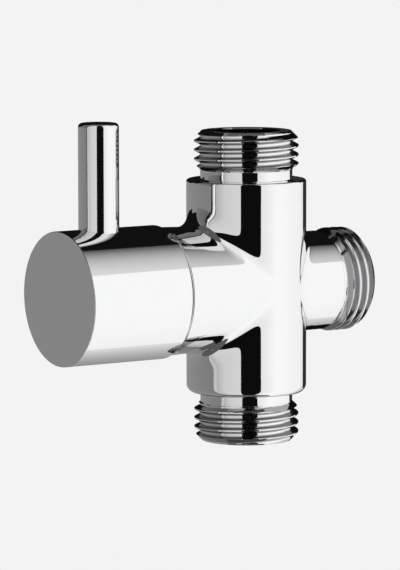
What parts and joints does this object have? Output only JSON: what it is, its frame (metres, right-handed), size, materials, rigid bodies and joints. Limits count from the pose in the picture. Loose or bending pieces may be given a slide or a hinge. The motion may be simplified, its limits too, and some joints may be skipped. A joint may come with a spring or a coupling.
{
  "type": "three way valve",
  "caption": "Chrome cross-shaped shower diverter valve with male pipe threads on its inlet and two outlets, and a round knob with a lever that turns half a turn.",
  "frame": {"origin": "where the axes of the three ports cross, inside the inlet waterway", "axes": "+Z towards the upper outlet, -Z the lower outlet, +Y the inlet at the back, -Y the knob, +X the side that the lever swings through"},
  "size_m": [0.0264, 0.0693, 0.0651],
  "materials": {
    "body_chrome": "polished chrome plating on brass",
    "knob_chrome": "polished chrome plating",
    "lever_chrome": "polished chrome plating",
    "bare_brass": "turned brass",
    "stainless": "plain stainless steel",
    "black_rubber": "smooth nitrile rubber",
    "white_acetal": "moulded acetal",
    "glide_plastic": "moulded black nylon",
    "ceramic": "lapped alumina ceramic"
  },
  "bodies": {
    "root": {"valve_body": "body_chrome", "seat_seal": "black_rubber", "cartridge_base": "white_acetal", "fixed_ceramic_disc": "ceramic", "cartridge_sleeve": "bare_brass", "cartridge_o_ring": "black_rubber", "gland_nut": "bare_brass", "glide_ring": "glide_plastic"},
    "handle": {"moving_ceramic_disc": "ceramic", "disc_driver": "white_acetal", "spindle": "bare_brass", "thrust_washer": "white_acetal", "spindle_inner_o_ring": "black_rubber", "spindle_outer_o_ring": "black_rubber", "stop_ring": "stainless", "spindle_clip": "stainless", "spline_insert": "white_acetal", "knob_shell": "knob_chrome", "lever_rod": "lever_chrome", "knob_set_screw": "stainless"}
  },
  "joints": [
    {"name": "handle_turn", "type": "hinge", "parent": "root", "child": "handle", "pos_m": [0, 0, 0], "axis": [0, 1, 0], "range_deg": [0, 180]}
  ]
}
